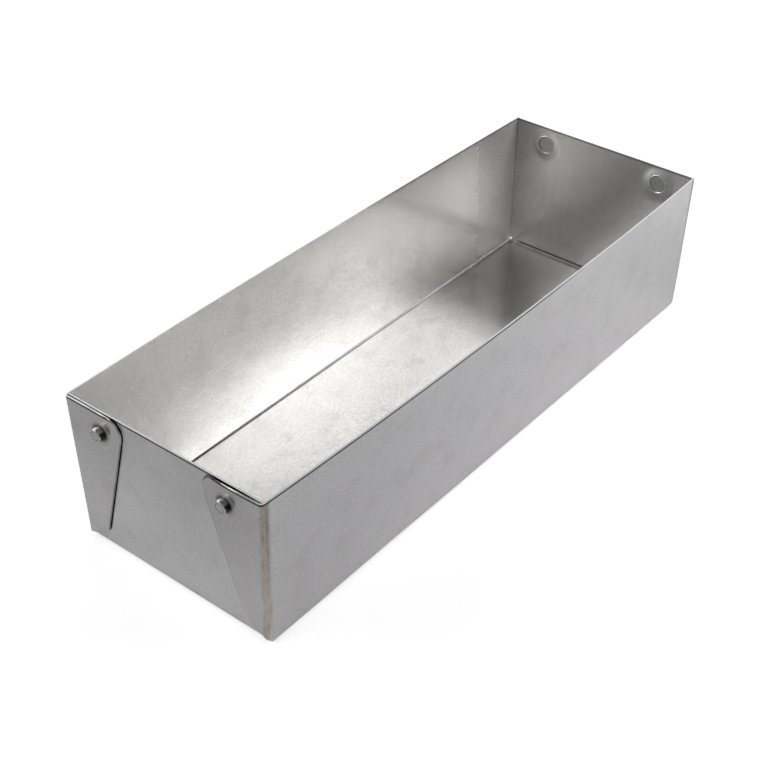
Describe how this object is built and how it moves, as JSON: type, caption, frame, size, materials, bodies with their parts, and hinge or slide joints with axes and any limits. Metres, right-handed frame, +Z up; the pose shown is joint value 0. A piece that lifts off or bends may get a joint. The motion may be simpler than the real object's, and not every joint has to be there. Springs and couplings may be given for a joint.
{
  "type": "folded sheet-metal pan",
  "caption": "Long open-topped pan folded from thin steel sheet, with tapered corner flaps riveted over the outside of each end.",
  "frame": {"origin": "centre of the floor's underside, which is what the pan stands on", "axes": "+X along the pan, +Y across it, +Z up towards the open rim"},
  "size_m": [0.305, 0.1044, 0.07],
  "materials": {
    "sheet_steel": "satin zinc-coated sheet, faintly mottled, with fine scratches and bright cut edges",
    "rivet_steel": "plain bright rivet steel, dulled by setting"
  },
  "bodies": {
    "root": {"folded_pan": "sheet_steel", "rivet_near_left": "rivet_steel", "rivet_near_right": "rivet_steel", "rivet_far_left": "rivet_steel", "rivet_far_right": "rivet_steel"}
  },
  "joints": []
}
